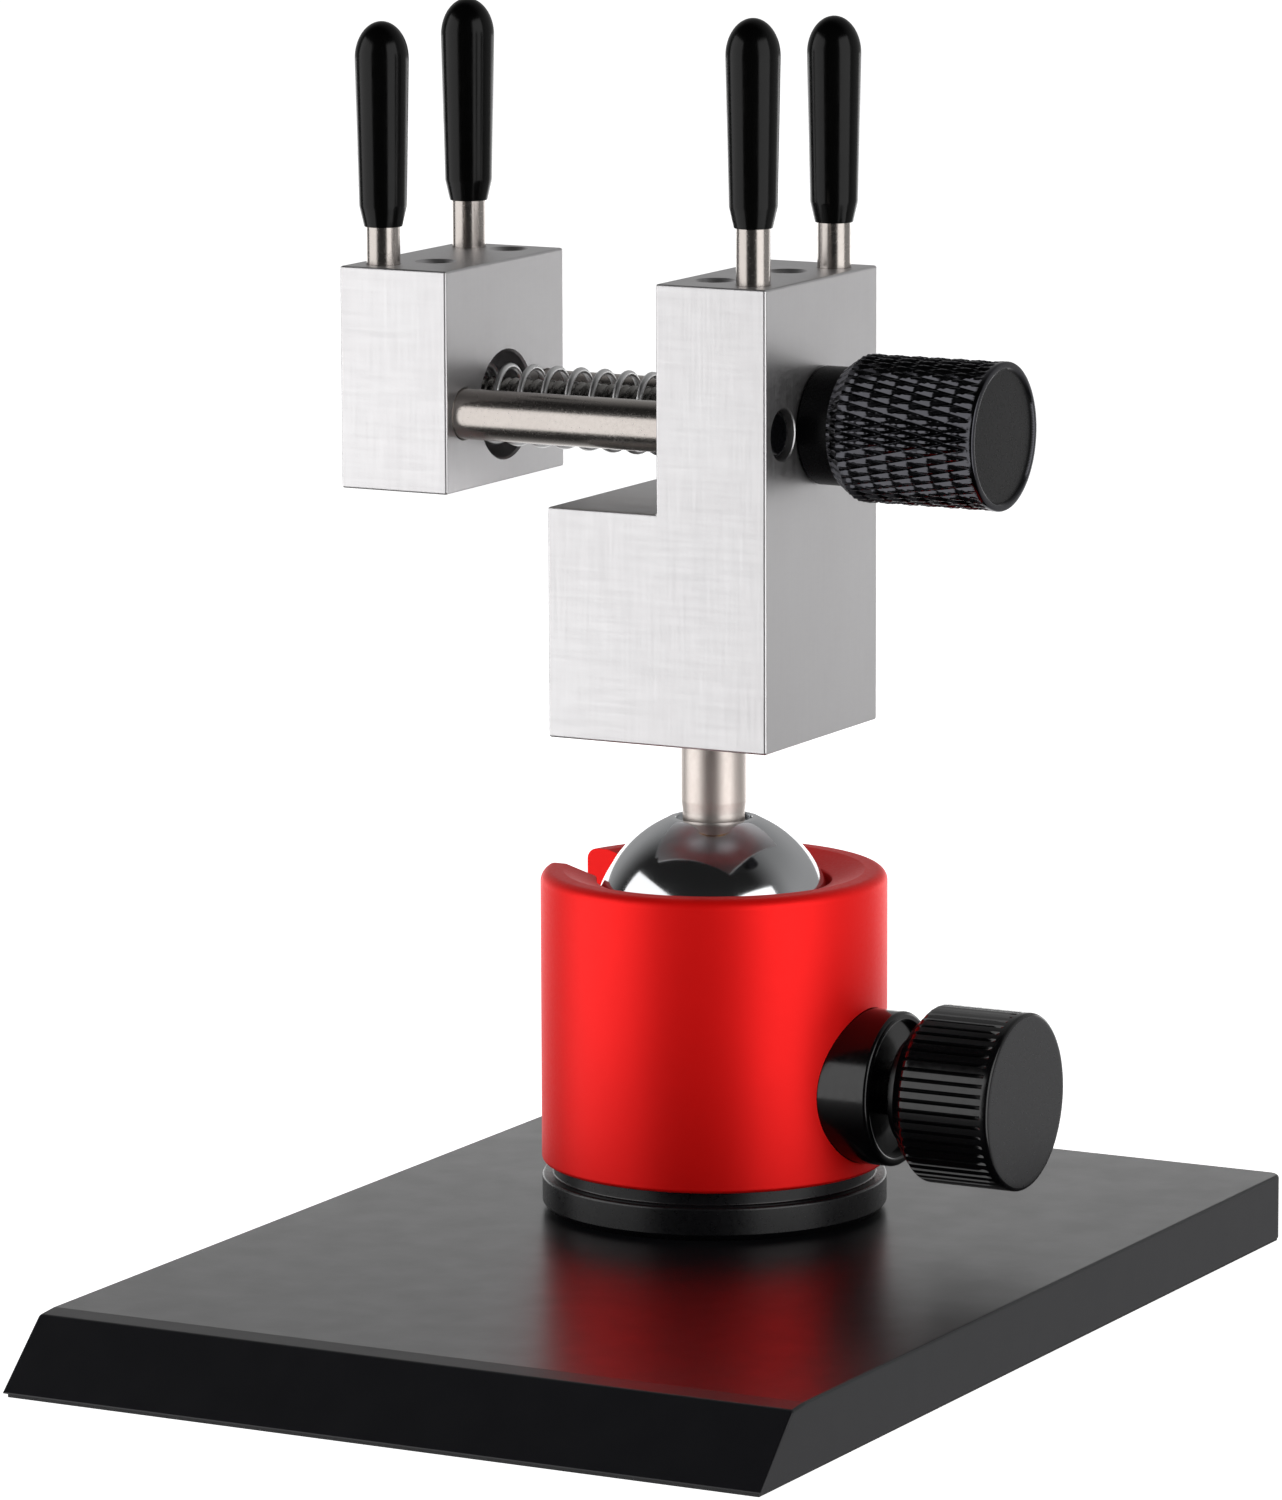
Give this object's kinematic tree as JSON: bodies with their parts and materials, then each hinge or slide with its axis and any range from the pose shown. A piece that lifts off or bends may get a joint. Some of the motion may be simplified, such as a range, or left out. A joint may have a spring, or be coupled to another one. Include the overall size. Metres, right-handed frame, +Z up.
{
  "type": "ball head watch case holder",
  "caption": "Small screw vise with capped upright pins that grip a watch case, carried by a lockable ball joint on a heavy base plate.",
  "frame": {"origin": "middle of the underside of the base sheet, on the surface that it stands on", "axes": "+X to the right along the sloped front edge and towards both knobs, +Y to the back, +Z up"},
  "size_m": [0.12, 0.172, 0.1888],
  "materials": {
    "plate_enamel": "satin powder coat",
    "sheet_rubber": "matte",
    "black_anodised": "satin anodised aluminium",
    "blackened_steel": "black oxide",
    "red_anodised": "satin red anodised aluminium",
    "liner_plastic": "moulded",
    "plain_aluminium": "machined",
    "plain_steel": "turned",
    "knob_black": "gloss black anodised",
    "ball_chrome": "polished",
    "bright_steel": "ground and polished",
    "ring_brass": "turned",
    "jaw_aluminium": "satin milled",
    "cap_vinyl": "gloss vinyl",
    "spring_steel": "bright wire"
  },
  "bodies": {
    "base": {"base_plate": "plate_enamel", "antislip_sheet": "sheet_rubber", "base_flange": "black_anodised", "base_bolt": "blackened_steel", "ball_housing": "red_anodised", "ball_liner": "liner_plastic", "lift_block": "plain_aluminium", "lock_collar": "black_anodised"},
    "wedge": {"lock_wedge": "plain_steel"},
    "lock": {"lock_screw": "plain_steel", "lock_knob": "knob_black"},
    "seat": {"ball_seat": "liner_plastic"},
    "ball": {"ball": "ball_chrome", "stem": "bright_steel", "stem_ring": "ring_brass"},
    "head": {"fixed_jaw": "jaw_aluminium", "front_guide_rod": "bright_steel", "rear_guide_rod": "bright_steel", "front_rod_plug": "blackened_steel", "rear_rod_plug": "blackened_steel", "screw_bushing": "ring_brass", "front_fixed_pin": "bright_steel", "rear_fixed_pin": "bright_steel", "front_fixed_cap": "cap_vinyl", "rear_fixed_cap": "cap_vinyl", "jaw_spring": "spring_steel"},
    "jaw": {"moving_jaw": "jaw_aluminium", "front_moving_pin": "bright_steel", "rear_moving_pin": "bright_steel", "front_moving_cap": "cap_vinyl", "rear_moving_cap": "cap_vinyl"},
    "clamp": {"lead_screw": "plain_steel", "retaining_ring": "blackened_steel", "clamp_knob": "knob_black", "clamp_set_screw": "blackened_steel"}
  },
  "joints": [
    {"name": "pan", "type": "hinge", "parent": "base", "child": "seat", "pos_m": [-0.007, 0.0285, 0.0523], "axis": [0, 0, 1], "continuous": true},
    {"name": "tilt", "type": "hinge", "parent": "seat", "child": "ball", "pos_m": [-0.007, 0.0285, 0.0523], "axis": [0, 1, 0], "range_deg": [-45, 45]},
    {"name": "spin", "type": "hinge", "parent": "ball", "child": "head", "pos_m": [-0.007, 0.0285, 0.075], "axis": [0, 0, 1], "continuous": true},
    {"name": "clamp_turn", "type": "hinge", "parent": "head", "child": "clamp", "pos_m": [0.013, 0.0285, 0.1286], "axis": [-1, 0, 0], "range_deg": [0, 9361]},
    {"name": "jaw_slide", "type": "slide", "parent": "head", "child": "jaw", "axis": [1, 0, 0], "range_m": [0, 0.0325], "deforming": ["jaw_spring"]},
    {"name": "lock_turn", "type": "hinge", "parent": "wedge", "child": "lock", "pos_m": [0.023, 0.0285, 0.0308], "axis": [1, 0, 0], "range_deg": [0, 271]},
    {"name": "wedge_slide", "type": "slide", "parent": "base", "child": "wedge", "axis": [1, 0, 0], "range_m": [0, 0.0009375]}
  ],
  "couplings": [
    {"joint": "clamp_turn", "follows": "jaw_slide", "rad_per_m": 5026.5},
    {"joint": "lock_turn", "follows": "wedge_slide", "rad_per_m": 5026.5}
  ]
}
